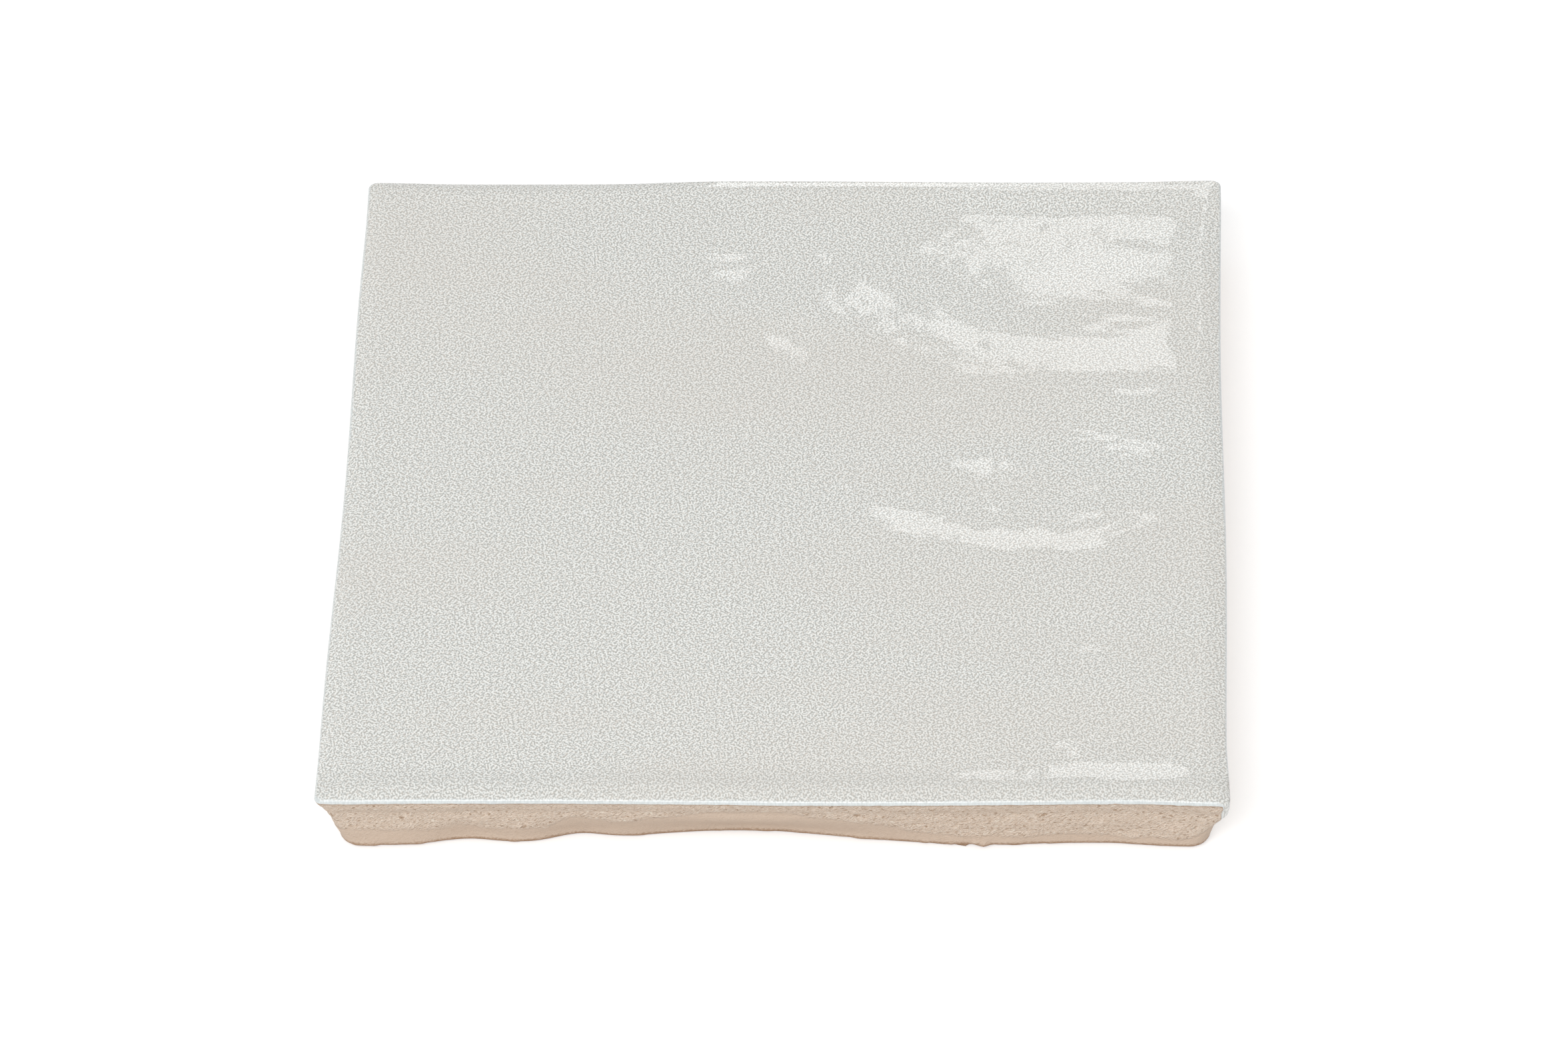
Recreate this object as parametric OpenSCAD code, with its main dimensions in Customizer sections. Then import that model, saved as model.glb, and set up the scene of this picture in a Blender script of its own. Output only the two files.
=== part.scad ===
// Zellige tile: one piece of fired clay with a glazed face.
// It lies on its back, glaze up. The face is the largest section: under the rim the
// walls turn in, so that the back is smaller than the face, and smooth hollows run
// along the lower walls where the clay was pared away.

/* [Tile] */
// Length of the glazed face from left to right
face_w = 100; // [60:1:200]
// Length of the glazed face from front to back
face_d = 100; // [60:1:200]
// Thickness from the back to the crown of the glaze
tile_t = 10.3; // [8:0.1:20]
// Radius of the corners of the face, in plan
corner_r = 0.9; // [0.6:0.1:4]

/* [Glazed face] */
// Radius of the rim where the glaze turns down into the walls
rim_r = 0.5; // [0.3:0.1:1.2]
// How far the glaze drops from its bead to the rim
edge_drop = 0.5; // [0.2:0.05:1]
// Width of the band along each edge over which the glaze drops
edge_band = 2.8; // [2:0.1:6]
// Height of the bead where the glaze gathers along each edge
bead_h = 0.16; // [0:0.02:0.4]
// Distance of the bead from the edge
bead_at = 2.4; // [1.5:0.1:6]
// Half width of the bead
bead_half_w = 1.9; // [1:0.1:4]
// Depth of the slow waves in the face
face_wave = 0.25; // [0:0.05:0.6]
// Length of one slow wave in the face
face_wave_len = 62; // [40:1:120]
// How far each edge of the face wavers in plan
edge_wave = 0.3; // [0:0.05:0.8]
// Length of one waver of an edge
edge_wave_len = 64; // [30:1:150]

/* [Dishes in the face] */
// Middle of the large dish, from the centre of the face
large_dish_at = [33, 34.5]; // [-40:0.5:40]
// Half length of the large dish, across and along the face
large_dish_half = [28, 16]; // [8:0.5:40]
// Depth of the large dish
large_dish_deep = 0.19; // [0:0.01:0.5]
// Middle of the small dish, from the centre of the face
small_dish_at = [26, 0]; // [-40:0.5:40]
// Half length of the small dish, across and along the face
small_dish_half = [19.5, 10]; // [8:0.5:40]
// Depth of the small dish
small_dish_deep = 0.21; // [0:0.01:0.5]
// Place across the face of the fall towards the back edge
back_fall_at = 33; // [-40:0.5:40]
// Half length of the fall, across and along the face
back_fall_half = [14, 12.5]; // [8:0.5:40]
// Depth of the fall at the back edge
back_fall_deep = 0.24; // [0:0.01:0.5]

/* [Walls] */
// Height of the upper wall, which turns in faster than the wall under it
upper_h = 2.6; // [0.8:0.1:4]
// How far the upper wall draws in
upper_in = 1; // [0.4:0.1:2]
// How far the foot of the wall stands in from the face
undercut = 2; // [1.6:0.1:6]
// Radius of the edge between the walls and the back
back_r = 1; // [0.3:0.1:1.5]
// Radius of the corners of the back, in plan
back_corner_r = 2.3; // [1.6:0.1:8]

/* [Hollows] */
// Places of the four hollows, from the start of a wall
hollow_at = [16, 28.5, 47, 84]; // [5:0.5:95]
// Half widths of the four hollows
hollow_half_w = [4, 3.5, 16, 7]; // [3:0.5:20]
// Depths of the four hollows at the foot of the wall
hollow_depth = [0.75, 0.95, 2.2, 0.3]; // [0:0.05:3]
// Share of the lower wall's height up to which the hollows reach
hollow_reach = 0.85; // [0.4:0.05:1]

/* [Hidden] */

// Sampling of the outline and of the rounded edges
wall_steps = 30;
corner_steps = 4;
edge_steps = 3;
lower_steps = 4;
upper_steps = 3;
band_steps = 5;
face_steps = 9;

// Angle at which the round of the rim runs into the glazed band
rim_turn = 70;

// Distance in from the edge at which a dish starts and has its full depth
dish_start = 1.5;
dish_full = 6.5;

// How steeply the sides of a dish turn up from its flat bottom, and those of the fall
dish_steepness = 3;
fall_steepness = 1;

// Length at both ends of a wall where hollows and wavers fade out
end_fade = 9;

// How the upper wall curves in from the rim: at 1 it would be straight
upper_bend = 1.3;

// Each wall takes the hollows in its own direction, moved along by its own shift:
// front, right, back, left
wall_turn = [1, -1, 1, -1];
wall_shift = [0, -9, 14, 6];

// Start of the waver on each of the four edges, in degrees
waver_start = [20, 150, 70, 250];

clay_colour = "#C9B7A6";

half_w = face_w / 2;
half_d = face_d / 2;

// Height of the glazed band above the back, at a distance in from the face's edge:
// a drop at the edge, and a bell curve for the bead
function band_z(inset) =
    let (
        drop = edge_drop * pow(1 - min(1, inset / edge_band), 2),
        bead = exp(-pow((inset - bead_at) / bead_half_w, 2))
    )
    tile_t - drop - bead_h * (1 - bead);

rim_in = rim_r * (1 - cos(rim_turn));
rim_z = band_z(rim_in) - rim_r * sin(rim_turn);
upper_z = rim_z - upper_h;

function ease(t) = let (c = min(1, max(0, t))) c * c * (3 - 2 * c);
function mix(a, b, t) = a + (b - a) * t;
function turned(p, side) = [
    p.x * cos(90 * side) - p.y * sin(90 * side),
    p.x * sin(90 * side) + p.y * cos(90 * side)
];

// Depth of a shallow dish at a point of the face: the steeper its sides, the flatter its
// bottom
function dish(p, at, half, deep, steepness) =
    let (
        across = (p.x - at.x) / half.x,
        along = (p.y - at.y) / half.y
    )
    deep * exp(-pow(across * across + along * along, steepness));

function dishes(p) =
    dish(p, large_dish_at, large_dish_half, large_dish_deep, dish_steepness)
    + dish(p, small_dish_at, small_dish_half, small_dish_deep, dish_steepness)
    + dish(p, [back_fall_at, half_d], back_fall_half, back_fall_deep, fall_steepness);

// How far the slow waves lower the face at a point of it, from 0 to face_wave
function dip(p) =
    let (
        long_wave = cos(360 * (0.75 * p.x + 0.5 * p.y) / face_wave_len + 40),
        cross_wave = cos(360 * (0.4 * p.x - 0.8 * p.y) / face_wave_len - 60)
    )
    face_wave * (2 - long_wave - cross_wave) / 4;

// Depth of the hollows at a distance along a wall: a row of bell curves
function hollows(along, side) =
    let (
        wall_length = side % 2 == 0 ? face_w : face_d,
        start = wall_turn[side] > 0 ? along : wall_length - along,
        s = start - wall_shift[side]
    )
    [for (i = [0:len(hollow_at) - 1])
        hollow_depth[i] * exp(-pow((s - hollow_at[i]) / hollow_half_w[i], 2))
    ] * [for (i = hollow_at) 1];

// How far an edge wavers in at a distance along it, from 0 to edge_wave
function waver(along, side) =
    edge_wave * (1 - cos(360 * along / edge_wave_len + waver_start[side])) / 2;

// A level is a height, an inset, a corner radius, and the shares that it takes of the
// hollows, of the face's waves and of its dishes.
// One wall of a level, from its start to its end, looking at it from outside
function wall_points(level, side) =
    let (
        along_half = side % 2 == 0 ? half_w : half_d,
        out_half = side % 2 == 0 ? half_d : half_w,
        straight = along_half - level[1] - level[2]
    )
    [for (i = [0:wall_steps])
        let (
            u = straight * (2 * i / wall_steps - 1),
            fade = ease((straight - abs(u)) / end_fade),
            pared = level[3] * hollows(along_half + u, side),
            inward = fade * (pared + waver(along_half + u, side))
        )
        turned([u, level[1] + inward - out_half], side)
    ];

// The rounded corner that follows a wall, without its two end points
function corner_points(level, side) =
    let (
        along_half = side % 2 == 0 ? half_w : half_d,
        out_half = side % 2 == 0 ? half_d : half_w,
        keep = level[1] + level[2]
    )
    [for (i = [1:corner_steps - 1])
        let (a = 90 * i / corner_steps - 90)
        turned([
            along_half - keep + level[2] * cos(a),
            keep - out_half + level[2] * sin(a)
        ], side)
    ];

function ring(level) =
    let (
        outline = [for (side = [0:3])
            each concat(wall_points(level, side), corner_points(level, side))
        ]
    )
    [for (p = outline)
        [p.x, p.y, level[0] - level[4] * dip(p) - level[5] * dishes(p)]
    ];

// Rounded edge of the back, from the flat back up to the wall
back_edge_levels = [for (i = [0:edge_steps])
    let (a = 90 * i / edge_steps, in = back_r * (1 - sin(a)))
    [back_r * (1 - cos(a)), undercut + in, back_corner_r - in, 1, 0, 0]
];

// Sloping lower wall with its hollows
lower_wall_levels = [for (i = [1:lower_steps])
    let (t = i / lower_steps)
    [
        mix(back_r, upper_z, t),
        mix(undercut, upper_in, t),
        mix(back_corner_r, corner_r, t),
        1 - ease(t / hollow_reach),
        0,
        0
    ]
];

// Upper wall: it leans out to the rim and ends upright under it
upper_wall_levels = [for (i = [1:upper_steps])
    let (t = i / (upper_steps + 1))
    [mix(upper_z, rim_z, t), upper_in * pow(1 - t, upper_bend), corner_r, 0, t, 0]
];

// Round of the rim
rim_levels = [for (i = [0:edge_steps])
    let (a = rim_turn * i / edge_steps)
    [rim_z + rim_r * sin(a), rim_r * (1 - cos(a)), corner_r, 0, 1, 0]
];

// Band of the face along its edges, with the bead, and the field inside it
bead_end = bead_at + 2 * bead_half_w;
band_insets = [for (i = [1:band_steps]) mix(rim_in, bead_end, i / band_steps)];
field_insets = [for (i = [1:face_steps])
    mix(bead_end, min(half_w, half_d), i / (face_steps + 1))
];
face_levels = [for (in = concat(band_insets, field_insets))
    [band_z(in), in, corner_r, 0, 1, ease((in - dish_start) / (dish_full - dish_start))]
];

// The lowest level repeats the outline of the back under it, for the cut that makes the
// back flat
cut_h = 1;
foot_level = [-cut_h, undercut + back_r, back_corner_r - back_r, 1, 0, 0];

// Skin of the tile: rings of points joined level by level, closed by a fan at each end
module skin() {
    levels = concat(
        [foot_level], back_edge_levels, lower_wall_levels,
        upper_wall_levels, rim_levels, face_levels
    );
    rings = [for (level = levels) ring(level)];
    count = len(rings[0]);
    foot = len(rings) * count;
    crown = foot + 1;
    points = concat(
        [for (r = rings) each r],
        [[0, 0, -cut_h], [0, 0, band_z(half_w) - dip([0, 0]) - dishes([0, 0])]]
    );
    sides = [for (k = [0:len(rings) - 2], i = [0:count - 1])
        let (
            j = (i + 1) % count,
            low = k * count,
            high = low + count
        )
        each [
            [low + i, high + i, high + j],
            [low + i, high + j, low + j]
        ]
    ];
    bottom = [for (i = [0:count - 1]) [foot, i, (i + 1) % count]];
    top = [for (i = [0:count - 1])
        [crown, foot - count + (i + 1) % count, foot - count + i]
    ];
    polyhedron(points = points, faces = concat(sides, bottom, top), convexity = 4);
}

module tile() {
    color(clay_colour)
    difference() {
        skin();
        translate([-face_w, -face_d, -2 * cut_h])
            cube([2 * face_w, 2 * face_d, 2 * cut_h]);
    }
}

tile();
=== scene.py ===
# %% [markdown]
# A handmade wall tile: a slab of pale terracotta, pressed and pared by hand, with an off-white
# glaze fused to its face. It is one fired piece, so it is one mesh here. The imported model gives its
# place and its size. This lesson adds what the kiln and the knife leave: slow waves in the glaze,
# crumbs and drag marks in the clay, and the grain of both.

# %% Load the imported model
import math

import bpy
import numpy as np
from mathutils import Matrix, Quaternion, Vector


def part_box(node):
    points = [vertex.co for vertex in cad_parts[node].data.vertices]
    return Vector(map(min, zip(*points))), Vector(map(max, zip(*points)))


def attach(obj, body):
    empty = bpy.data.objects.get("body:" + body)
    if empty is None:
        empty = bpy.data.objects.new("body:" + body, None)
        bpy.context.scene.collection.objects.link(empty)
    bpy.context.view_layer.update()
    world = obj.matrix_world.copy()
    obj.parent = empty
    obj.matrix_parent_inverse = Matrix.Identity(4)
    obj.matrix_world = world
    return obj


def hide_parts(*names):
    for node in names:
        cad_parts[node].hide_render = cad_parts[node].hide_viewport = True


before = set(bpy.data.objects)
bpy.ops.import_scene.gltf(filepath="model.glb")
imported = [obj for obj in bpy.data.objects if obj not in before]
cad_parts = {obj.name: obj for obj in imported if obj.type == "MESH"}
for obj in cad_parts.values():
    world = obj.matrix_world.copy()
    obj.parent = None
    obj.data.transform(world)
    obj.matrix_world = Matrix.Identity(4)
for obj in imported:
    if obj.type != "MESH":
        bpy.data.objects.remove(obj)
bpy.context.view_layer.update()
low, high = (np.array(corner) * 1000 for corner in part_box("tile"))
print("packed tile, mm:", np.round(low, 2), np.round(high, 2))

# %% [markdown]
# The shape is worked out in millimetres, because every size of a tile is a few of them, and it is
# turned into metres when the mesh is made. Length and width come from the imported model. The others
# are those of the solid, so that the dressed tile lies on it everywhere.

# %% Sizes of the tile, in millimetres
MM = 0.001

face_w, face_d, tile_t = high[0] - low[0], high[1] - low[1], 10.3
half_w, half_d = face_w / 2, face_d / 2

corner_r = 0.9
rim_r = 0.5
edge_drop = 0.5
edge_band = 2.8
bead_h = 0.16
bead_at = 2.4
bead_half_w = 1.9
face_wave = 0.25
face_wave_len = 62
edge_wave = 0.3
edge_wave_len = 64

upper_h = 2.6
upper_in = 1.0
upper_bend = 1.3
undercut = 2.0
back_r = 1.0
back_corner_r = 2.3
rim_turn = 70
end_fade = 9

hollow_at = np.array([16, 28.5, 47, 84])
hollow_half_w = np.array([4, 3.5, 16, 7])
hollow_depth = np.array([0.75, 0.95, 2.2, 0.3])
hollow_reach = 0.85
wall_turn = [1, -1, 1, -1]
wall_shift = [0, -9, 14, 6]
waver_start = [20, 150, 70, 250]

# %% [markdown]
# Clay and glaze are never even, so most cells below ask for noise. Value noise is simple: random
# heights on a coarse lattice, joined by a smooth curve. Blender has a noise function too, but it
# takes one point at a time, and numpy answers for a whole array at once.

# %% Value noise on whole arrays
def smooth(t):
    """Smooth step: 3 t squared minus 2 t cubed, with t kept between 0 and 1."""
    t = np.clip(t, 0, 1)
    return t * t * (3 - 2 * t)


def noise(u, v, seed, wrap=256):
    """Height between -1 and 1 at lattice coordinates u, v: the four heights round a point, mixed
    by a smooth curve of its distance from each. The lattice repeats every wrap cells."""
    heights = np.random.default_rng(seed).uniform(-1, 1, (wrap, 256))
    iu, iv = np.floor(u).astype(int), np.floor(v).astype(int)
    fu, fv = u - iu, v - iv
    fu, fv = (f * f * f * (f * (6 * f - 15) + 10) for f in (fu, fv))
    h = lambda du, dv: heights[(iu + du) % wrap, (iv + dv) % 256]
    near = h(0, 0) * (1 - fu) + h(1, 0) * fu
    far = h(0, 1) * (1 - fu) + h(1, 1) * fu
    return near * (1 - fv) + far * fv


# %% [markdown]
# The face looks flat and isn't. Along each edge the glaze draws back into a bead before it drops to
# the rim, and the field inside follows slow waves and shallow dishes, each a few tenths of a
# millimetre deep. Only two or three degrees of slope decide where a lamp shows in the gloss, so all
# of this is shape and not bump. It is a sum of simple functions, because each can then be moved or
# made deeper by itself until the gleams fall where they should.

# %% The outline and the distance from it
def mix(a, b, t):
    return a + (b - a) * t


def waver(along, side):
    """How far an edge of the face stands in: a raised cosine of the distance along it."""
    turn = 2 * np.pi * along / edge_wave_len + math.radians(waver_start[side])
    return edge_wave * (1 - np.cos(turn)) / 2


def faded(along, length):
    """1 along a wall and 0 at its two rounded ends, by a smooth step from each."""
    straight = length / 2 - corner_r
    return smooth((straight - np.abs(along - length / 2)) / end_fade)


def edge_distance(x, y):
    """Distance in from the wavering outline: the smaller of the distances from the two nearest
    edges, with a parabola over the crease between them, which grows wider further in."""
    ax, ay = x + half_w, y + half_d
    wx = np.where(x < 0, waver(face_d - ay, 3), waver(ay, 1)) * faded(ay, face_d)
    wy = np.where(y < 0, waver(ax, 0), waver(face_w - ax, 2)) * faded(ax, face_w)
    p, q = half_w - wx - np.abs(x), half_d - wy - np.abs(y)
    nearer = np.minimum(p, q)
    at_outline = 4 * (1 - math.sqrt(0.5)) * corner_r
    blend = mix(at_outline, 4.0, smooth((nearer - 0.5) / 3))
    return nearer - np.clip(blend - np.abs(p - q), 0, None) ** 2 / (4 * blend)


# %% Waves and dishes
# Each dish: its middle, its two half widths, its depth, how steep its sides are, its turn in degrees
large_dish = (34, 35, 26, 15, 0.18, 4, 3)
small_dish = (28, 0, 17, 10, 0.20, 3, 0)
back_fall = (33, half_d, 14, 12.5, 0.24, 1, 0)
dimples = [
    (28, 29.8, 14, 5, -0.10, 1, 0),
    (38, 40.6, 7, 1.6, -0.03, 1, -4),
    (13, 43, 5, 4, -0.06, 1, 40),
    (9, 31, 7, 3.5, 0.09, 1, -25),
    (22, 50, 9, 10, 0.08, 1, 0),
    (43, 28, 7, 6, 0.09, 1, 0),
    (24, 5, 5, 4.5, 0.15, 1, 0),
    (37, 8.6, 9, 2.6, 0.22, 1, -21),
    (-3.5, 36, 5, 6, 0.22, 1, 20),
    (5.5, 38.5, 4, 5, 0.18, 1, 0),
    (1.5, 23, 4.5, 2.5, 0.15, 1, -25),
    (16, -5, 5, 4, 0.10, 1, 0),
    (40, 17, 7, 3, -0.03, 1, 0),
    (33, -24, 7, 4, 0.15, 1, 0),
    (38, -38, 10, 5, 0.20, 1, 0),
]
dish_start, dish_full = 1.5, 5.5


def dip(x, y):
    """How far the slow waves lower the face: two crossing cosines, between 0 and face_wave."""
    turn = 2 * np.pi / face_wave_len
    long_wave = np.cos(turn * (0.75 * x + 0.5 * y) + math.radians(40))
    cross_wave = np.cos(turn * (0.4 * x - 0.8 * y) - math.radians(60))
    return face_wave * (2 - long_wave - cross_wave) / 4


def dish(x, y):
    """Depth of the dishes: for each, e to the minus r to the power of twice its steepness, where r
    is the distance from its middle in half widths, on axes turned by its turn."""
    total = 0
    for px, py, wx, wy, depth, steep, turn in [large_dish, small_dish, back_fall, *dimples]:
        cos, sin = math.cos(math.radians(turn)), math.sin(math.radians(turn))
        across = ((x - px) * cos + (y - py) * sin) / wx
        along = ((y - py) * cos - (x - px) * sin) / wy
        total = total + depth * np.exp(-((across ** 2 + along ** 2) ** steep))
    return total


# %% Ripples and drag marks in the glaze
def ripple(x, y):
    """Unevenness of the glaze: noise of four sizes, at places that noise has pushed about, so
    that no lattice shows."""
    u = x + 3 * noise(x / 11 + 7, y / 9 + 7, 14)
    v = y + 3 * noise(x / 10 + 60, y / 8 + 60, 15)
    return (0.030 * noise(u / 8 + 40, v / 6.5 + 40, 11)
            + 0.015 * noise(u / 4.1 + 40, v / 3.0 + 40, 12)
            + 0.006 * noise(u / 1.9 + 90, v / 1.3 + 90, 13)
            + 0.0022 * noise(x / 0.9 + 20, y / 0.8 + 20, 41))


def drag_marks(x, y):
    """Streaks that run round the two large dishes: noise of the turn about a dish's middle and of
    the distance from it, fading out either side of the dish's slope. The turn is counted in a
    whole number of cells, after which the noise repeats, so that no seam shows."""
    total = 0
    for seed, ((px, py, wx, wy, *_), strength) in enumerate(((large_dish, 1.0), (small_dish, 1.6))):
        along, up = (x - px) / wx, (y - py) / wy
        r, turns = np.hypot(along, up), np.arctan2(up, along) / (2 * np.pi)
        marks = (0.010 * noise(turns * 25, r * wy / 1.5 + 30, 50 + seed, 25)
                 + 0.006 * noise(turns * 51, r * wy / 0.7 + 30, 60 + seed, 51))
        total = total + strength * marks * np.exp(-(((r - 0.85) / 0.5) ** 2))
    return total


# %% Bead along the edge, and the height of the face
def bead_strength(x, y):
    """Share of its full height that the bead has: it wanders, and is highest at the front right."""
    gathered = 0.24 * np.exp(-(((x - 37) / 12) ** 2) - ((y + 47) / 12) ** 2)
    return np.minimum(0.69 + 0.21 * noise(x / 14 + 20, y / 14 + 20, 17) + gathered, 1)


def band_z(inset, strength=1.0, lift=0.0):
    """Height of the glaze at a distance in from the edge: it rises from the rim along a parabola,
    and a bell curve stands on that as the bead. A lift takes that much off the drop."""
    drop = (edge_drop - lift) * (1 - np.clip(inset / edge_band, 0, 1)) ** 2
    bead = np.exp(-(((inset - bead_at) / bead_half_w) ** 2))
    return tile_t - drop - bead_h * (1 - strength * bead)


rim_in = rim_r * (1 - math.cos(math.radians(rim_turn)))


def back_lift(x, y):
    """Lift along the back edge, right of its middle: there the glaze hardly drops, and its edge
    mirrors the lamp."""
    return 0.45 * smooth((y - 38) / 8) * smooth((x + 22) / 14)


def rim_shift(x, y):
    """How far the rim's foot stands above its even height: the lift's share of it, less the dip."""
    return (1 - rim_in / edge_band) ** 2 * back_lift(x, y) - dip(x, y)


def face_z(x, y, inset):
    """Height of the face: the band and its bead, which wander a little and are narrower at the
    back, less the slow waves, with dishes and ripples further in."""
    ragged = inset + 0.5 * noise(x / 1.3 + 70, y / 0.9 + 70, 27)
    inside = smooth((ragged - dish_start) / (dish_full - dish_start))
    wander = 0.30 * noise(x / 3.1 + 50, y / 3.1 + 50, 18) + 0.12 * noise(x / 1.2 + 50, y / 1.2 + 50, 19)
    narrower = 0.3 * (inset - rim_in) * smooth((y - 40) / 8)
    reached = inset + narrower + wander * smooth(inset / 2)
    band = band_z(reached, bead_strength(x, y), back_lift(x, y))
    return band - dip(x, y) + inside * (ripple(x, y) + drag_marks(x, y) - dish(x, y))


# %% [markdown]
# The walls are a profile carried round the outline. Each level of the profile has a height, an inset
# from the face's edge, a corner radius, and the shares it takes of the hollows and of the face's dip.
# A loft like this keeps the same number of points at each level, so the whole skin is one grid of
# quads from the back to the rim.

# %% Levels of the wall, from the back to the rim
side_steps = 240
corner_half_steps = 5
back_edge_steps = 5
lower_steps = 16
upper_steps = 9
rim_steps = 7

rim_z = band_z(rim_in) - rim_r * math.sin(math.radians(rim_turn))
upper_z = rim_z - upper_h


def level_rows(z, inset, radius, hollow, dipping):
    return np.stack(np.broadcast_arrays(z, inset, radius, hollow, dipping), axis=1)


def wall_levels():
    """Quarter round at the back, a straight slope, an upper part that leans out to the rim by a
    power of the height left, and the rim's arc."""
    a = np.radians(np.linspace(0, 90, back_edge_steps + 1))
    fall = back_r * (1 - np.sin(a))
    back_edge = level_rows(back_r * (1 - np.cos(a)), undercut + fall, back_corner_r - fall, 1, 0)
    t = np.linspace(0, 1, lower_steps + 1)[1:]
    lower = level_rows(mix(back_r, upper_z, t), mix(undercut, upper_in, t),
                       mix(back_corner_r, corner_r, t), 1 - smooth(t / hollow_reach), 0)
    t = np.linspace(0, 1, upper_steps + 1)[1:-1]
    upper = level_rows(mix(upper_z, rim_z, t), upper_in * (1 - t) ** upper_bend, corner_r, 0, t)
    a = np.radians(np.linspace(0, rim_turn, rim_steps + 1))
    rim = level_rows(rim_z + rim_r * np.sin(a), rim_r * (1 - np.cos(a)), corner_r, 0, 1)
    return np.concatenate([back_edge, lower, upper, rim])


levels = wall_levels()
print("wall levels:", len(levels), "from 0 to", round(float(levels[-1, 0]), 2), "mm")


# %% Points of the wall
def hollows(along, side):
    """Depth of the hollows at a distance along a wall: a row of bell curves."""
    length = face_w if side % 2 == 0 else face_d
    start = along if wall_turn[side] > 0 else length - along
    s = start - wall_shift[side]
    bells = np.exp(-(((s[..., None] - hollow_at) / hollow_half_w) ** 2))
    return bells @ hollow_depth


def wall_side(side):
    """Points of one wall: for each level, half a corner, a straight run and half a corner. The run
    moves in by the hollows and the waver, and its points keep their place along the wall."""
    z, inset, radius, hollow, dipping = (levels[:, i, None] for i in range(5))
    along_half, out_half = (half_w, half_d) if side % 2 == 0 else (half_d, half_w)
    keep = inset + radius
    straight = along_half - keep
    run_steps = side_steps - 2 * corner_half_steps
    turn = np.radians(np.concatenate([
        np.linspace(-135, -90, corner_half_steps + 1)[:-1],
        np.full(run_steps + 1, -90.0),
        np.linspace(-90, -45, corner_half_steps + 1)[1:-1]]))
    run = np.concatenate([
        np.full(corner_half_steps, -1.0), np.linspace(-1, 1, run_steps + 1),
        np.full(corner_half_steps - 1, 1.0)])
    u = straight * run
    fade = smooth((straight - np.abs(u)) / end_fade)
    pared = fade * hollows(along_half + u, side)
    inward = hollow * pared + fade * waver(along_half + u, side)
    out = np.broadcast_to(turn, u.shape)
    local_x = u + (radius - inward) * np.cos(out)
    local_y = keep - out_half + (radius - inward) * np.sin(out)
    a = math.radians(90 * side)
    x = local_x * math.cos(a) - local_y * math.sin(a)
    y = local_x * math.sin(a) + local_y * math.cos(a)
    normal = np.stack([np.cos(out + a), np.sin(out + a)])
    return x, y, np.broadcast_to(z, x.shape), np.broadcast_to(dipping, x.shape), pared, normal


walls = [wall_side(side) for side in range(4)]
wall_x, wall_y, wall_z, dipping, pared = (
    np.concatenate([w[i] for w in walls], axis=1) for i in range(5))
normals = np.concatenate([w[5] for w in walls], axis=2)
around = wall_x.shape[1]
print("wall grid:", wall_x.shape)

# %% [markdown]
# Under the rim the clay is torn: the cutter dragged grit through it on a slant. Lower down, and
# highest up in the hollows, the knife left it smooth. So the relief is noise of a few sizes, some of
# it stretched along the slant, and it is scaled down below the line where the knife started.

# %% Torn clay and smooth clay
def above_cut(z, pared, place):
    """Height above the line where the knife started, in millimetres: the deeper the hollow, the
    higher that line, and beyond the hollows of a wall it falls nearly to the foot."""
    along = (4 * place) % 1
    beyond = smooth((along - 0.60) / 0.16) * smooth((1 - along) / 0.06)
    return z - np.maximum(3.4 - 2.9 * beyond, 1.6 + 2.6 * pared)


def clay_relief(x, y, z, torn):
    """Height out of the wall: crumbs, and marks dragged on a slant, less of them on smooth clay.
    The sum of x and y grows evenly along each wall, whichever way it faces."""
    along = x + y
    crumbs = 0.06 * noise(along / 0.6, z / 0.6, 21) + 0.03 * noise(along / 0.42, z / 0.35, 22)
    slanted = 0.05 * noise((along - z) / 0.8, (along + z) / 2.8, 25)
    swell = 0.07 * noise(along / 4.5, z / 1.6, 23)
    return (0.25 + 0.75 * torn) * (crumbs + slanted) + swell


place = np.broadcast_to(np.arange(around) / around, wall_x.shape)
cut_height = above_cut(wall_z, pared, place) + 0.5 * noise((wall_x + wall_y) / 2.2, wall_z / 2.2, 26)
torn = smooth((cut_height + 0.5) / 1.0)
clay_share = smooth((rim_z - wall_z) / 0.5) * smooth(wall_z / 0.5)
relief = clay_share * (clay_relief(wall_x, wall_y, wall_z, torn) - 0.06)
burr = np.clip(noise(place * 220, wall_z / 3, 24, 220) - 0.5, 0, 1)
relief += 0.30 * burr * smooth(wall_z / 0.3) * smooth((1.4 - wall_z) / 1.0)
flaked = np.exp(-(((place - 0.1835) / 0.010) ** 2)) * smooth(wall_z / 0.25) * smooth((1.6 - wall_z) / 0.9)
relief += 0.5 * flaked * np.clip(noise(place * 700, wall_z / 0.6, 28, 700) + 0.1, 0, 1)
print("torn share of the wall:", round(float(torn.mean()), 2))

# %% Run of glaze down the front right corner
run_place, run_half_w, run_length = 0.2545, 0.005, 6.0
run_share = np.exp(-(((place - run_place) / run_half_w) ** 2))
run_start = smooth((rim_z - wall_z) / 0.4)
run_end = smooth((wall_z - rim_z + run_length) / 3.4)
run_relief = 0.93 * levels[:, 1, None] * run_start * run_end
relief = mix(relief, run_relief, run_share)

wall_x = wall_x + relief * normals[0]
wall_y = wall_y + relief * normals[1]
wall_z = wall_z + dipping * rim_shift(wall_x, wall_y)

# %% [markdown]
# The face closes the top. Its outline is the rim's last ring, and a Coons patch fills it: each
# inner point is a blend of the four sides, less a blend of the four corners. The grid then has no
# pole in the middle of the gloss, where a fan of thin triangles would show.

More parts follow.
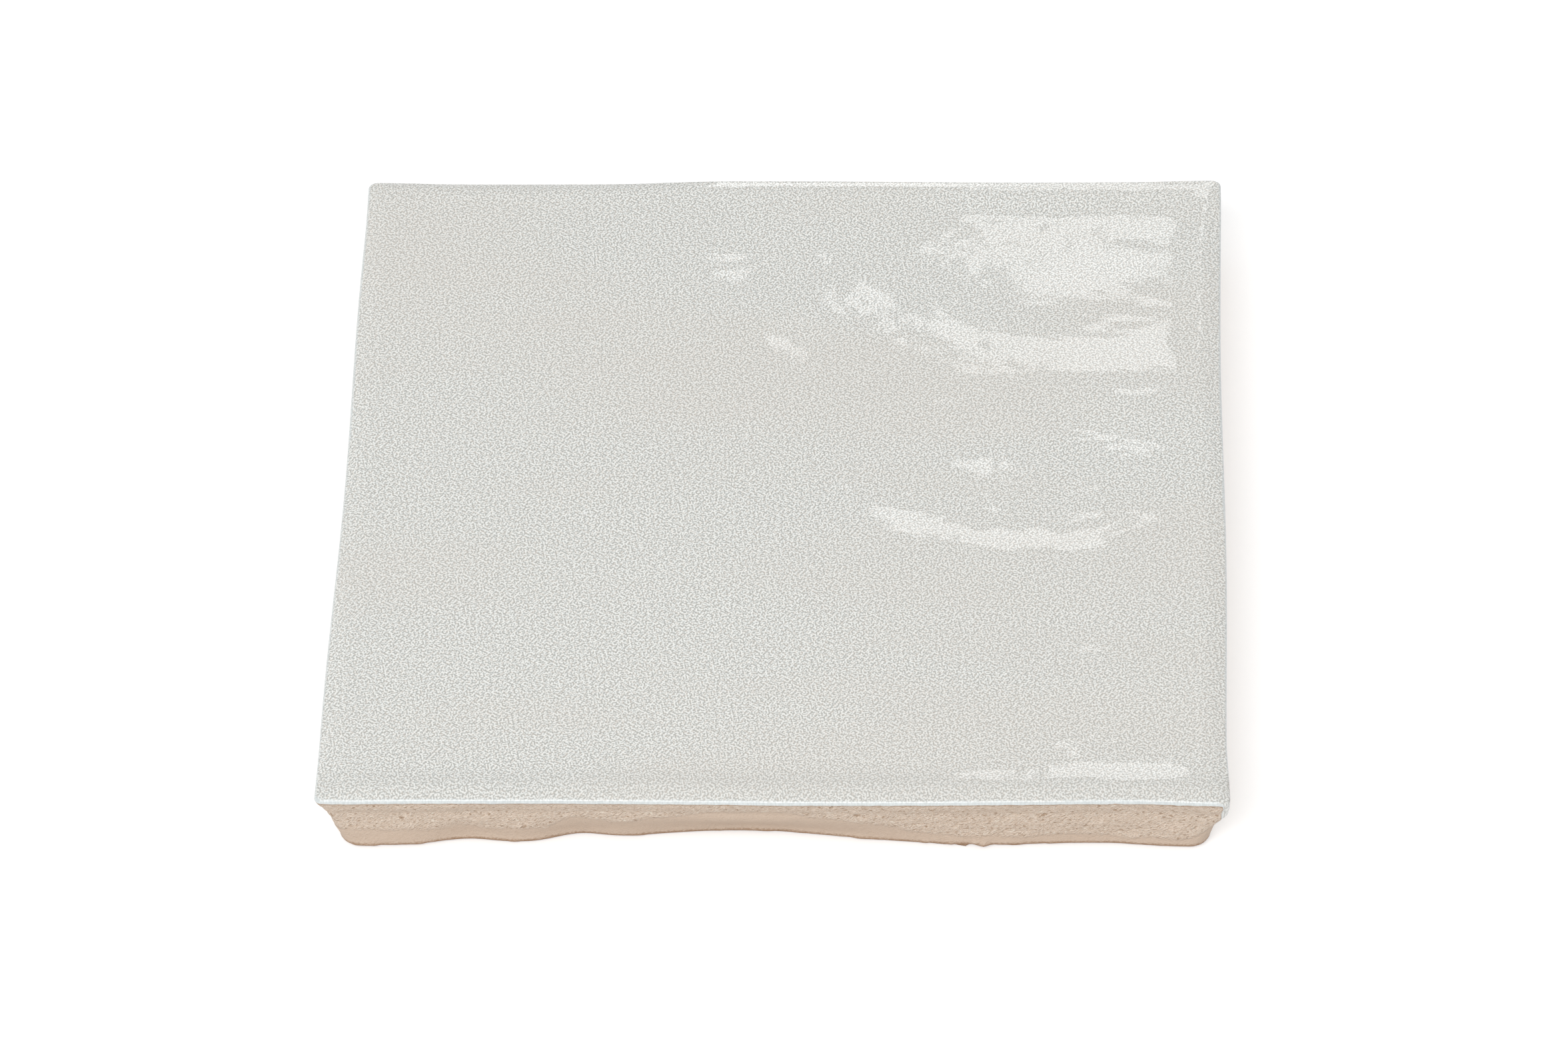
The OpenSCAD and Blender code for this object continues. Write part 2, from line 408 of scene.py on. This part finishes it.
# %% Face patch
def coons(edge):
    """Points inside four joined edges: the blend across, plus the blend along, less the blend of
    the corners. edge holds the ring, side after side."""
    n = side_steps
    front, right = edge[0:n + 1], edge[n:2 * n + 1]
    back, left = edge[2 * n:3 * n + 1][::-1], np.append(edge[3 * n:], edge[0])[::-1]
    t = np.linspace(0, 1, n + 1)
    u, v = t[:, None], t[None, :]
    across = front[:, None] * (1 - v) + back[:, None] * v
    along = left[None, :] * (1 - u) + right[None, :] * u
    corners = (front[0] * (1 - u) * (1 - v) + front[-1] * u * (1 - v)
               + back[0] * (1 - u) * v + back[-1] * u * v)
    return across + along - corners


face_x, face_y = coons(wall_x[-1]), coons(wall_y[-1])
face_inset = edge_distance(face_x, face_y)
face_height = face_z(face_x, face_y, face_inset)
print("face grid:", face_x.shape, "height", np.round([face_height.min(), face_height.max()], 3))

# %% [markdown]
# The mesh joins the two grids. The face's border uses the rim's own points, so the skin has no seam,
# and one flat polygon closes the back. Two attributes go with it: how far a point lies above the
# line where the glaze ends, and how far above the line where the knife started. The finish reads both.

# %% Mesh
def skin_faces():
    """Quads of the wall between one level and the next, and of the face between four grid points."""
    rows, n = wall_x.shape[0], side_steps
    ring = np.arange(around)
    after = (ring + 1) % around
    base = (np.arange(rows - 1) * around)[:, None]
    wall = np.stack([base + ring, base + after, base + around + after, base + around + ring], -1)
    top = (rows - 1) * around
    grid = np.zeros((n + 1, n + 1), int)
    grid[1:-1, 1:-1] = rows * around + np.arange((n - 1) ** 2).reshape(n - 1, n - 1)
    grid[:, 0] = top + np.arange(0, n + 1)
    grid[-1, :] = top + np.arange(n, 2 * n + 1)
    grid[:, -1] = top + np.arange(3 * n, 2 * n - 1, -1)
    grid[0, :] = top + np.arange(4 * n, 3 * n - 1, -1) % around
    grid[0, 0] = top
    face = np.stack([grid[:-1, :-1], grid[1:, :-1], grid[1:, 1:], grid[:-1, 1:]], -1)
    return wall.reshape(-1, 4), face.reshape(-1, 4)


def glaze_line(place):
    """Height at which the glaze ends: at the foot of the rim, with a run at the front right corner."""
    wander = 0.05 * noise(place * 60, place * 0, 31, 60) + 0.03 * noise(place * 300, place * 0, 32, 300)
    return rim_z - 0.05 + wander - 0.95 * run_length * run_share[0]


wall_quads, face_quads = skin_faces()
inner = (slice(1, -1), slice(1, -1))
points = np.concatenate([
    np.stack([wall_x, wall_y, wall_z], -1).reshape(-1, 3),
    np.stack([face_x, face_y, face_height], -1)[inner].reshape(-1, 3)]) * MM
line = glaze_line(place[0]) + dipping * rim_shift(wall_x, wall_y)
above_line = np.concatenate([(wall_z - line).ravel(), 0.5 + face_inset[inner].ravel()])
above_knife = np.concatenate([cut_height.ravel(), np.full((side_steps - 1) ** 2, 9.0)])

mesh = bpy.data.meshes.new("tile_fired")
back_face = list(range(around))[::-1]
mesh.from_pydata(points.tolist(), [], wall_quads.tolist() + face_quads.tolist() + [back_face])
for name, values in (("above_glaze_line", above_line), ("above_knife_line", above_knife)):
    mesh.attributes.new(name, "FLOAT", "POINT").data.foreach_set("value", values.astype(np.float32))
mesh.shade_smooth()
mesh.polygons[len(mesh.polygons) - 1].use_smooth = False
mesh.update()
tile = bpy.data.objects.new("tile_fired", mesh)
bpy.context.collection.objects.link(tile)
print("points:", len(mesh.vertices), "polygons:", len(mesh.polygons))

# %% [markdown]
# The finish is one shader, because clay and glaze are one fired surface. A mask mixes the two: pale,
# dull clay below the glaze line and off-white gloss above it. The maths reads best as plain
# expressions, so a small class wraps a socket and adds a Math node for each operator.

# %% Shader maths as expressions
class Socket:
    """An output of a node, which sums, products and powers turn into Math nodes."""

    def __init__(self, finish, output):
        self.finish, self.output = finish, output

    def maths(self, operation, first, second=0.0):
        return self.finish.node("ShaderNodeMath", {"operation": operation}, {0: first, 1: second})

    def __add__(self, other):
        return self.maths("ADD", self, other)

    def __sub__(self, other):
        return self.maths("SUBTRACT", self, other)

    def __rsub__(self, other):
        return self.maths("SUBTRACT", other, self)

    def __mul__(self, other):
        return self.maths("MULTIPLY", self, other)

    __radd__, __rmul__ = __add__, __mul__


class Finish:
    """A material, and one method that adds any node to it."""

    def __init__(self, name):
        self.material = bpy.data.materials.new(name)
        self.material.use_nodes = True
        self.tree = self.material.node_tree
        self.shader = self.tree.nodes["Principled BSDF"]

    def node(self, kind, settings=None, inputs=None, output=0):
        node = self.tree.nodes.new(kind)
        for name, value in (settings or {}).items():
            if name == "stops":
                self.set_stops(node.color_ramp, value)
            else:
                setattr(node, name, value)
        self.feed(node, inputs or {})
        return Socket(self, node.outputs[output])

    def feed(self, node, inputs):
        for key, value in inputs.items():
            if isinstance(value, Socket):
                self.tree.links.new(value.output, node.inputs[key])
            else:
                node.inputs[key].default_value = value

    def set_stops(self, ramp, stops):
        while len(ramp.elements) < len(stops):
            ramp.elements.new(0.5)
        for element, (place, colour) in zip(ramp.elements, stops):
            element.position, element.color = place, colour

    def attribute(self, name):
        return self.node("ShaderNodeAttribute", {"attribute_name": name}, output="Fac")

    def noise(self, where, scale, detail=2.0, roughness=0.5, dimensions="3D"):
        """Noise between 0 and 1, at a scale in cells for each metre."""
        return self.node("ShaderNodeTexNoise", {"noise_dimensions": dimensions}, {
            "Vector": where, "Scale": scale, "Detail": detail, "Roughness": roughness})

    def step(self, value, start, end):
        """Smooth step from 0 at start to 1 at end."""
        return self.node("ShaderNodeMapRange", {"interpolation_type": "SMOOTHSTEP"}, {
            "Value": value, "From Min": start, "From Max": end})

    def spot(self, where, x, y, radius):
        """1 at a place of the face, given in millimetres, fading to 0 at a radius from it."""
        away = self.node("ShaderNodeVectorMath", {"operation": "DISTANCE"}, {
            0: where, 1: (x * MM, y * MM, tile_t * MM)}, output="Value")
        return self.step(away, radius * MM, 0.3 * radius * MM)

    def blend(self, factor, first, second):
        """Colour between two others."""
        return self.node("ShaderNodeMix", {"data_type": "RGBA"}, {
            0: factor, 6: first, 7: second}, output=2)


def colour(red, green, blue):
    """Linear colour of an sRGB one given from 0 to 255."""
    value = np.array([red, green, blue]) / 255
    linear = np.where(value <= 0.04045, value / 12.92, ((value + 0.055) / 1.055) ** 2.4)
    return (*linear.tolist(), 1.0)


# %% [markdown]
# Glaze colour: off-white with a fine grain about 0.4 mm across, where tiny bubbles and unmelted
# grains scatter the light, and slow clouds where the coat is thinner. On the rim a painted highlight
# in bluish white covers the grain. Grain on a flat face would lie along the lattice of the noise and
# look blotchy, so the coordinates are turned first.

# %% Finish: the glaze
glaze_pale = colour(247, 248, 244)
glaze_grey = colour(184, 184, 179)
glaze_warm = colour(218, 208, 197)
glaze_cool = colour(210, 215, 214)
rim_painted_highlight = colour(217, 224, 225)
grit_painted_highlight = colour(246, 248, 247)
glaze_hole = colour(120, 112, 100)
pinholes = [(-41.8, 48.6), (-18.5, 36.0), (38.8, 26.2)]
grit_glint_spots = [(-22.2, -5.6), (-31.5, -2.0)]

finish = Finish("glazed_clay")
where = finish.node("ShaderNodeTexCoord", output="Object")
turned = finish.node("ShaderNodeMapping", {}, {"Vector": where, "Rotation": (0.6, 0.45, 0.3)})
on_face = finish.node("ShaderNodeMapping", {}, {"Vector": where, "Rotation": (0, 0, 0.6)})
streaked = finish.node("ShaderNodeMapping", {}, {"Vector": where, "Scale": (0.3, 1.2, 1.0)})
ragged = finish.noise(where, 900, 3.0)
above_glaze_line = finish.attribute("above_glaze_line")
glazed = finish.step(above_glaze_line + (ragged - 0.5) * 0.3, -0.04, 0.04)

grain = finish.noise(on_face, 4500, 0.0, dimensions="2D")
tint = finish.noise(on_face, 3100, 0.0, dimensions="2D")
clouds = finish.noise(streaked, 60, 3.0)
glaze = finish.blend(finish.step(grain, 0.30, 0.70), glaze_grey, glaze_pale)
glaze = finish.blend(finish.step(tint, 0.52, 0.80) * 0.35, glaze, glaze_warm)
glaze = finish.blend(finish.step(tint, 0.48, 0.20) * 0.35, glaze, glaze_cool)
glaze = finish.blend(finish.step(clouds, 0.4, 0.7) * 0.18, glaze, glaze_warm)
across, depth, height = (
    finish.node("ShaderNodeSeparateXYZ", {}, {"Vector": where}, output=axis) for axis in "XYZ")
# Painted shade: a greyer band along the front edge of the face.
glaze = finish.blend(finish.step(depth, -0.0445, -0.0475) * 0.15, glaze, glaze_grey)
# Painted highlight: bluish white over the rim's arc and the face's first tenth of a millimetre, where the
# gloss mirrors the front lamp; it also hides the stretched grain there.
glaze = finish.blend(finish.step(above_glaze_line, 0.6, 0.3) * 0.75, glaze, rim_painted_highlight)
for x, y in pinholes:
    glaze = finish.blend(finish.spot(where, x, y, 0.32) * 0.8, glaze, glaze_hole)
# Whitish grit spots: partly the grit's own colour, partly a painted highlight on its small bumps.
for x, y in grit_glint_spots:
    glaze = finish.blend(finish.spot(where, x, y, 0.5) * 0.8, glaze, grit_painted_highlight)

# %% [markdown]
# Clay colour: a warm pink sand. Torn clay has pale crumbs, dark pits and slanted marks, and smooth
# clay is a little darker and even. Painted shade in an ochre tint runs along the foot, where the wall
# meets the floor, and just under the glaze, where the rim overhangs the wall.

# %% Finish: the clay
clay_sand = colour(218, 198, 179)
clay_pale = colour(230, 214, 198)
clay_dark = colour(170, 142, 117)
clay_smooth = colour(209, 188, 169)
ochre_painted_shade = colour(150, 112, 78)
clay_crumb = colour(238, 226, 210)

along = across + depth
slant = finish.node("ShaderNodeCombineXYZ", {}, {
    "X": along - height, "Y": (along + height) * 0.28, "Z": 0.0})
torn_clay = finish.step(finish.attribute("above_knife_line"), -0.3, 0.4)
marks = finish.noise(slant, 4200, 1.0)
crumbs = finish.noise(turned, 3800, 1.0)
pits = finish.noise(turned, 1500, 1.0)
clay = finish.blend(finish.step(crumbs, 0.35, 0.7), clay_sand, clay_pale)
clay = finish.blend(finish.step(marks, 0.48, 0.25) * 0.8, clay, clay_dark)
clay = finish.blend((1 - torn_clay) * 0.8, clay, clay_smooth)
clay = finish.blend(finish.step(pits, 0.66, 0.74) * torn_clay * 0.8, clay, clay_dark)
clay = finish.blend(finish.step(pits, 0.33, 0.26) * torn_clay * 0.8, clay, clay_crumb)
# Painted shade in an ochre tint: a dark line along the foot, where the wall meets the floor.
foot_shade = finish.step(height + (crumbs - 0.5) * 0.0006, 0.0011, 0.0005)
clay = finish.blend(foot_shade * 0.75, clay, ochre_painted_shade)
# Painted shade in an ochre tint: a thin line just under the glaze, where the rim overhangs the wall.
clay = finish.blend(finish.step(above_glaze_line, -0.35, -0.1) * 0.45, clay, ochre_painted_shade)

# %% Finish: relief and gloss
coat_relief = finish.noise(turned, 2200, 1.0)
clay_bump = (marks * 0.6 + crumbs) * (0.35 + torn_clay * 0.65)
glaze_normal = finish.node("ShaderNodeBump", {}, {
    "Strength": 1.0, "Distance": 0.000004, "Height": coat_relief})
normal = finish.node("ShaderNodeBump", {}, {
    "Strength": (1 - glazed) * 0.8, "Distance": 0.0003, "Height": clay_bump, "Normal": glaze_normal})

finish.feed(finish.shader, {
    "Base Color": finish.blend(glazed, clay, glaze),
    "Roughness": 0.9 - glazed * 0.87,
    "Normal": normal,
    "IOR": 1.5,
})
mesh.materials.append(finish.material)

# %% Join the tile to the frame
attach(tile, "root")
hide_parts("tile")

# %% [markdown]
# The camera stands where the photograph's did: in front of the tile, a little to its right, looking
# down at about 44 degrees through a long lens. It is turned to the tile's middle and the lens is
# longer, so that one tile fills the frame as the photographed group did.

# %% Camera
camera_place = np.array([34.6, -685.8, 684.5]) * MM
look_at = np.array([0.0, -1.0, 4.0]) * MM
photo_lens = 100.2
closer = 1.95
roll = math.radians(-2.0)

lens = bpy.data.cameras.new("camera")
lens.sensor_width = 36
lens.lens = photo_lens * closer
lens.clip_end = 20
camera = bpy.data.objects.new("camera", lens)
camera.location = camera_place
aim = Vector(look_at - camera_place).to_track_quat("-Z", "Y")
camera.rotation_euler = (aim @ Quaternion((0, 0, 1), roll)).to_euler()
bpy.context.collection.objects.link(camera)
bpy.context.scene.camera = camera

# %% [markdown]
# Lights: a wide soft lamp above the camera lights the face and the front wall evenly, and a smaller
# one behind the tile stands just where its gloss mirrors it. Its image breaks up on the waves of the
# glaze. A third, lower and to the left of that, shows only where the glaze turns down steeply, along
# the back edge. The floor is white and keeps a soft shadow.

# %% Lights
def soft_lamp(name, place, target, width, depth, radiance):
    """A rectangular lamp that looks from place to target; its power is radiance times pi times its
    area, so its face looks as bright as the radiance says."""
    data = bpy.data.lights.new(name, "AREA")
    data.shape = "RECTANGLE"
    data.size, data.size_y = width, depth
    data.energy = radiance * math.pi * width * depth
    lamp = bpy.data.objects.new(name, data)
    lamp.location = place
    lamp.rotation_euler = (Vector(target) - Vector(place)).to_track_quat("-Z", "Y").to_euler()
    lamp.visible_camera = False
    bpy.context.collection.objects.link(lamp)
    return lamp


middle = (0, 0, 0.01)
soft_lamp("front_lamp", (-0.35, -1.0, 1.1), middle, 1.0, 0.8, 4.6)
soft_lamp("back_lamp", (0.092, 1.500, 1.090), (0, 0, 0.0103), 0.186, 0.420, 2.1)
soft_lamp("edge_lamp", (-0.046, 1.593, 0.972), (0, 0, 0.0103), 0.094, 0.170, 3.4)

# %% Floor and surroundings
def seen_or_mirrored(tree):
    """1 for what the camera sees, directly, in a mirror or through glass, and 0 for light that
    falls on the tile."""
    path = tree.nodes.new("ShaderNodeLightPath")
    total = path.outputs["Is Camera Ray"]
    for name in ("Is Glossy Ray", "Is Transmission Ray"):
        larger = tree.nodes.new("ShaderNodeMath")
        larger.operation = "MAXIMUM"
        tree.links.new(total, larger.inputs[0])
        tree.links.new(path.outputs[name], larger.inputs[1])
        total = larger.outputs[0]
    return total


def ranged(tree, value, low, high):
    """The value from low at 0 to high at 1."""
    node = tree.nodes.new("ShaderNodeMapRange")
    node.inputs["To Min"].default_value = low
    node.inputs["To Max"].default_value = high
    tree.links.new(value, node.inputs["Value"])
    return node.outputs["Result"]


world = bpy.data.worlds.new("studio")
world.use_nodes = True
bpy.context.scene.world = world
tree = world.node_tree
background = tree.nodes["Background"]
background.inputs["Color"].default_value = (1, 1, 1, 1)
tree.links.new(ranged(tree, seen_or_mirrored(tree), 0.62, 1.0), background.inputs["Strength"])

floor_half = 1.0
corners = [(-1, -1), (1, -1), (1, 1), (-1, 1)]
floor_mesh = bpy.data.meshes.new("floor")
floor_mesh.from_pydata([(floor_half * x, floor_half * y, 0) for x, y in corners], [], [(0, 1, 2, 3)])
floor = bpy.data.objects.new("floor", floor_mesh)
bpy.context.collection.objects.link(floor)
floor_paint = bpy.data.materials.new("floor_paint")
floor_paint.use_nodes = True
tree = floor_paint.node_tree
paint = tree.nodes["Principled BSDF"]
paint.inputs["Base Color"].default_value = (0.8, 0.8, 0.8, 1)
paint.inputs["Roughness"].default_value = 1.0
paint.inputs["Specular IOR Level"].default_value = 0.0
paint.inputs["Emission Color"].default_value = (1, 1, 1, 1)
tree.links.new(ranged(tree, seen_or_mirrored(tree), 0, 0.42), paint.inputs["Emission Strength"])
floor_mesh.materials.append(floor_paint)

# %% Finish
bpy.context.scene.view_settings.view_transform = "Standard"
